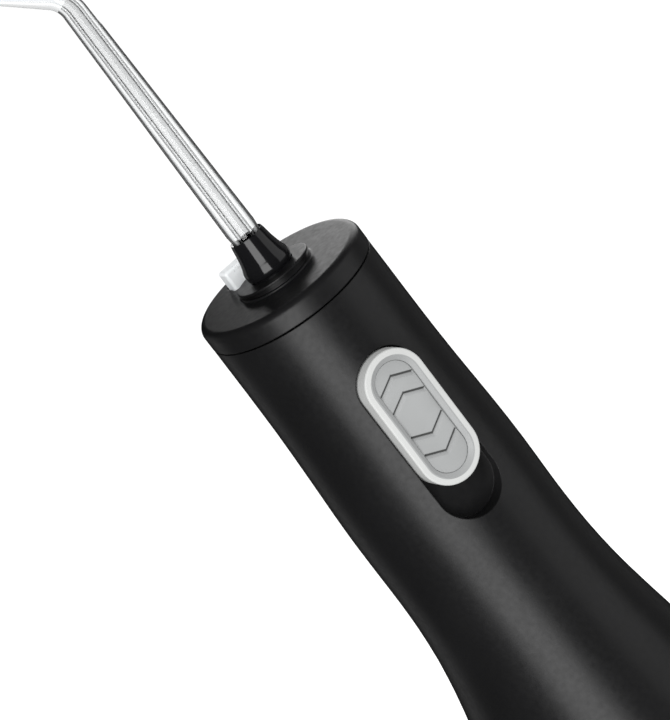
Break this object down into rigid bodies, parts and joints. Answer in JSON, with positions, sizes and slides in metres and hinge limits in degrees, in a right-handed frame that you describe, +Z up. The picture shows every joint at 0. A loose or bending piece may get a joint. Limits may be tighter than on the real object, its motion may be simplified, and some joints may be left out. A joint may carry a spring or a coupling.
{
  "type": "cordless water flosser",
  "caption": "Slim hand-held water flosser: black oval handle on a lift-off water tank, sloped round head with a fluted knob and an angled clear jet tip, slide switch in front.",
  "frame": {"origin": "on the floor under the axis of the head and the jet tip", "axes": "+Z up along the tip's axis, -Y the front with the slide switch, +X to the right seen from the front"},
  "size_m": [0.0522, 0.0671, 0.2798],
  "materials": {
    "body_black": "fine satin moulded plastic",
    "knob_black": "high gloss",
    "tank_smoke": "smoke translucent, satin",
    "rim_grey": "light grey satin",
    "pad_grey": "mid grey satin",
    "clear_tip": "clear",
    "button_white": "translucent white",
    "ring_blue": "plain",
    "rubber_black": "matte",
    "silicone_grey": "matte",
    "frame_white": "natural nylon",
    "gear_nylon": "natural acetal",
    "pinion_brass": "machined",
    "steel": "drawn",
    "spring_steel": "drawn wire",
    "screw_steel": "zinc plated",
    "magnet": "nickel plated ferrite",
    "copper": "varnished winding",
    "board_green": "solder mask",
    "part_black": "moulded",
    "glass_reed": "clear",
    "cell_sleeve": "printed film sleeve, left plain",
    "hose_clear": "soft PVC",
    "wire_red": "insulation"
  },
  "bodies": {
    "reservoir": {"water_tank": "tank_smoke", "foot_pad": "rubber_black", "tank_deck": "tank_smoke", "port_seal": "silicone_grey", "suction_tube": "hose_clear", "suction_filter": "part_black", "door_hinge_pin": "steel"},
    "handle": {"handle_shell": "body_black", "top_cap": "body_black", "cap_seal": "rubber_black", "tip_socket": "part_black", "tip_clip": "spring_steel", "eject_spring": "spring_steel", "drive_frame": "frame_white", "motor_can": "steel", "motor_magnets": "magnet", "motor_end_bell": "part_black", "motor_terminals": "pinion_brass", "gear_axle": "steel", "pump_cylinder": "frame_white", "pump_plunger": "gear_nylon", "plunger_seal": "rubber_black", "return_spring": "spring_steel", "pump_valves": "silicone_grey", "pump_screws": "screw_steel", "inlet_hose": "hose_clear", "battery_holder": "part_black", "battery_contacts": "pinion_brass", "circuit_board": "board_green", "board_capacitor": "part_black", "reed_switch": "glass_reed", "wire_leads": "wire_red", "bulkhead": "body_black", "skirt_seal": "silicone_grey", "bulkhead_screws": "screw_steel", "latch_spring": "spring_steel", "battery_cell_1": "cell_sleeve", "battery_cell_2": "cell_sleeve", "battery_cell_3": "cell_sleeve"},
    "filling_door": {"fill_door": "body_black", "fill_door_seal": "silicone_grey"},
    "slide_switch": {"switch_frame": "rim_grey", "switch_pad": "pad_grey", "switch_carriage": "part_black", "switch_magnet": "magnet"},
    "tip_collar": {"rotation_knob": "knob_black", "tip_sleeve": "part_black", "knob_ring": "spring_steel"},
    "tip": {"jet_tip": "clear_tip", "tip_seal": "rubber_black", "tip_ring": "ring_blue"},
    "eject": {"eject_button": "button_white"},
    "latch": {"latch_button": "rim_grey"},
    "battery_lid": {"battery_door": "body_black", "battery_door_seal": "silicone_grey", "battery_springs": "spring_steel"},
    "swash_drive": {"swash_gear": "gear_nylon"},
    "motor_rotor": {"motor_shaft": "steel", "motor_armature": "copper", "motor_pinion": "pinion_brass"}
  },
  "joints": [
    {"name": "handle_lift", "type": "slide", "parent": "reservoir", "child": "handle", "axis": [0, 0, 1], "range_m": [0, 0.02]},
    {"name": "fill_door_hinge", "type": "hinge", "parent": "reservoir", "child": "filling_door", "pos_m": [0, 0.0386, 0.0605], "axis": [1, 0, 0], "range_deg": [0, 100]},
    {"name": "switch_slide", "type": "slide", "parent": "handle", "child": "slide_switch", "axis": [0, 0, 1], "range_m": [-0.008, 0]},
    {"name": "tip_rotation", "type": "hinge", "parent": "handle", "child": "tip_collar", "pos_m": [0, 0, 0.203], "axis": [0, 0, 1], "continuous": true},
    {"name": "tip_removal", "type": "slide", "parent": "tip_collar", "child": "tip", "axis": [0, 0, 1], "range_m": [0, 0.028]},
    {"name": "eject_press", "type": "slide", "parent": "handle", "child": "eject", "axis": [0, 0, 1], "range_m": [-0.0025, 0], "stiffness_N_per_m": 400, "springref_m": 0.002, "deforming": ["eject_spring"]},
    {"name": "latch_press", "type": "slide", "parent": "handle", "child": "latch", "axis": [0, -1, 0], "range_m": [0, 0.0015], "stiffness_N_per_m": 500, "springref_m": -0.002, "deforming": ["latch_spring"]},
    {"name": "battery_door_twist", "type": "hinge", "parent": "handle", "child": "battery_lid", "pos_m": [0, 0, 0.0795], "axis": [0, 0, 1], "range_deg": [0, 35]},
    {"name": "swash_gear_spin", "type": "hinge", "parent": "handle", "child": "swash_drive", "pos_m": [0, -0.003, 0.165], "axis": [0, 0, 1], "continuous": true},
    {"name": "motor_spin", "type": "hinge", "parent": "handle", "child": "motor_rotor", "pos_m": [0, 0.007, 0.15], "axis": [0, 0, 1], "continuous": true}
  ],
  "couplings": [
    {"joint": "motor_spin", "follows": "swash_gear_spin", "ratio": -2.3333}
  ]
}
